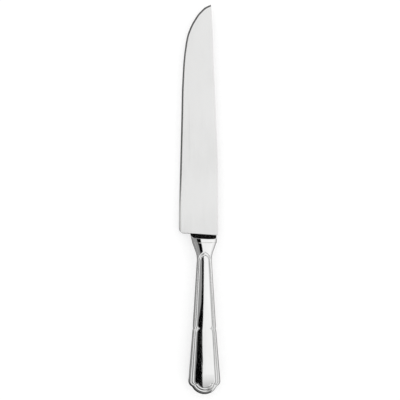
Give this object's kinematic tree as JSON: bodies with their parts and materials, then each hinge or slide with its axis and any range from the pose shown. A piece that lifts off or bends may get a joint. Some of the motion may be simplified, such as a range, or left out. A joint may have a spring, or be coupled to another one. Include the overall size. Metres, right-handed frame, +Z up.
{
  "type": "carving knife",
  "caption": "Hollow-handled table carving knife with a forged blade and bolster, and a thread border on the polished handle.",
  "frame": {"origin": "on the surface that the knife lies on, under the middle of its bounding box", "axes": "+Y from the handle to the point of the blade, +X from the cutting edge to the back of the blade, +Z up through the side of the knife"},
  "size_m": [0.0344, 0.32, 0.0139],
  "materials": {
    "blade_steel": "polished",
    "handle_steel": "polished",
    "braze": "satin",
    "cement": "matte"
  },
  "bodies": {
    "root": {"blade": "blade_steel", "handle_front_shell": "handle_steel", "handle_back_shell": "handle_steel", "side_seam_braze": "braze", "bolster_braze": "braze", "tang_cement": "cement"}
  },
  "joints": []
}
